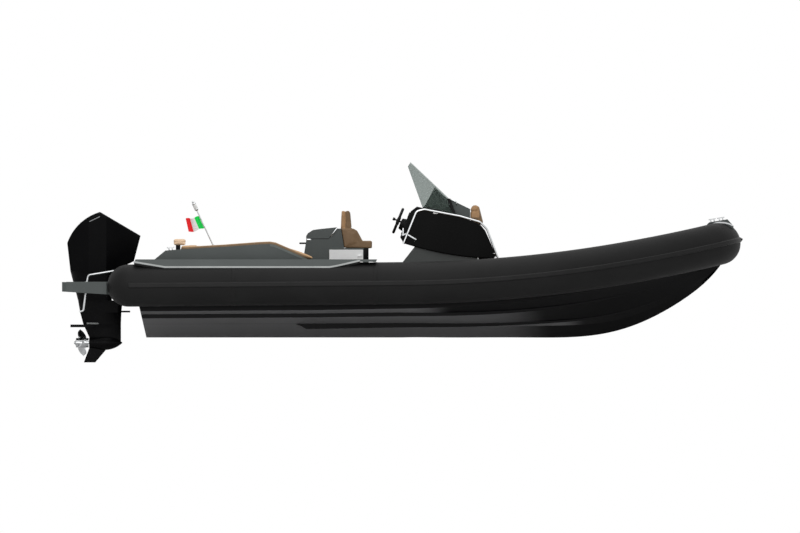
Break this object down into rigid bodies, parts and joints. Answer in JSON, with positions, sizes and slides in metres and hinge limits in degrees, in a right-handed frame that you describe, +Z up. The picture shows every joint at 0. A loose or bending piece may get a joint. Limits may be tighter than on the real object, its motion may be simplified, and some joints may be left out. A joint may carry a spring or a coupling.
{
  "type": "rigid inflatable boat",
  "caption": "Cabinless rigid inflatable boat with a deep-vee hull, inflated collar, centre console, lounge and a tilting, steering outboard motor.",
  "frame": {"origin": "amidships on the centreline at the waterline, named by the mount waterline", "axes": "+X forward to the bow, +Y to port, +Z up"},
  "size_m": [8.851, 3.116, 2.605],
  "materials": {
    "tube_fabric": "matte coated fabric",
    "strake_rubber": "matte ribbed rubber",
    "dark_gelcoat": "gloss moulding",
    "grey_gelcoat": "satin moulding",
    "dark_grey_gelcoat": "satin moulding",
    "black_gelcoat": "gloss moulding",
    "teak": "oiled planking",
    "brown_upholstery": "soft vinyl",
    "tan_upholstery": "soft vinyl",
    "stainless": "polished",
    "black_metal": "satin paint",
    "cowl_plastic": "gloss paint",
    "engine_block": "cast",
    "light_panel": "satin moulding",
    "smoked_glass": "smoked acrylic",
    "wheel_rubber": "soft grip",
    "flag_cloth": "woven nylon"
  },
  "bodies": {
    "boat": {"hull": "dark_gelcoat", "deck": "teak", "tube_stern_starboard": "tube_fabric", "tube_stern_port": "tube_fabric", "tube_bow_starboard": "tube_fabric", "tube_bow_port": "tube_fabric", "rub_strake": "strake_rubber", "bow_plate": "grey_gelcoat", "cleats": "stainless", "tow_eyes": "stainless", "coamings": "grey_gelcoat", "lounge_sides": "grey_gelcoat", "lounge_bulkhead": "grey_gelcoat", "sofa_base": "grey_gelcoat", "sofa_seat_cushions": "brown_upholstery", "sofa_back_cushions": "brown_upholstery", "headrest_brackets": "black_metal", "lounge_headrests": "tan_upholstery", "helm_base": "grey_gelcoat", "helm_seats": "brown_upholstery", "helm_bars": "stainless", "console_shell": "black_gelcoat", "console_base": "dark_grey_gelcoat", "console_nose": "dark_grey_gelcoat", "instrument_hood": "dark_grey_gelcoat", "windscreen": "smoked_glass", "console_rails": "stainless", "throttle": "stainless", "front_backrest": "brown_upholstery", "front_seat_cushion": "brown_upholstery", "bow_sunpad": "brown_upholstery", "swim_platforms": "grey_gelcoat", "grab_rails": "stainless", "boarding_ladder": "stainless", "flag_staff": "stainless", "flag": "flag_cloth", "clamp_bracket": "black_metal"},
    "swivel": {"swivel_bracket": "black_metal"},
    "motor": {"motor_cowl": "cowl_plastic", "powerhead": "engine_block", "motor_apron": "black_metal", "gearcase": "black_metal"},
    "propeller": {"propeller": "stainless"},
    "steering_wheel": {"steering_wheel": "wheel_rubber"},
    "helm_lid": {"helm_lid": "grey_gelcoat"},
    "fridge_door": {"fridge_door": "light_panel"},
    "anchor_hatch": {"anchor_hatch": "grey_gelcoat"}
  },
  "joints": [
    {"name": "motor_tilt", "type": "hinge", "parent": "boat", "child": "swivel", "pos_m": [-3.55, 0, 0.412], "axis": [0, 1, 0], "range_deg": [0, 65]},
    {"name": "motor_steer", "type": "hinge", "parent": "swivel", "child": "motor", "pos_m": [-3.69, 0, 0.2], "axis": [0, 0, 1], "range_deg": [-30, 30]},
    {"name": "propeller_spin", "type": "hinge", "parent": "motor", "child": "propeller", "pos_m": [-4.165, 0, -0.488], "axis": [1, 0, 0], "continuous": true},
    {"name": "wheel_turn", "type": "hinge", "parent": "boat", "child": "steering_wheel", "pos_m": [-0.05655, -0.2, 1.09794], "axis": [0.9248, 0, -0.3803], "range_deg": [-720, 720]},
    {"name": "helm_lid_hinge", "type": "hinge", "parent": "boat", "child": "helm_lid", "pos_m": [-0.86, 0, 1.0043], "axis": [0, 1, 0], "range_deg": [0, 75]},
    {"name": "fridge_door_hinge", "type": "hinge", "parent": "boat", "child": "fridge_door", "pos_m": [-0.942, -0.4613, 0.485], "axis": [0, 0, -1], "range_deg": [0, 80]},
    {"name": "anchor_hatch_hinge", "type": "hinge", "parent": "boat", "child": "anchor_hatch", "pos_m": [3.368, 0, 0.60048], "axis": [0, -1, 0], "range_deg": [0, 95]}
  ],
  "couplings": [
    {"joint": "wheel_turn", "follows": "motor_steer", "ratio": 24}
  ]
}
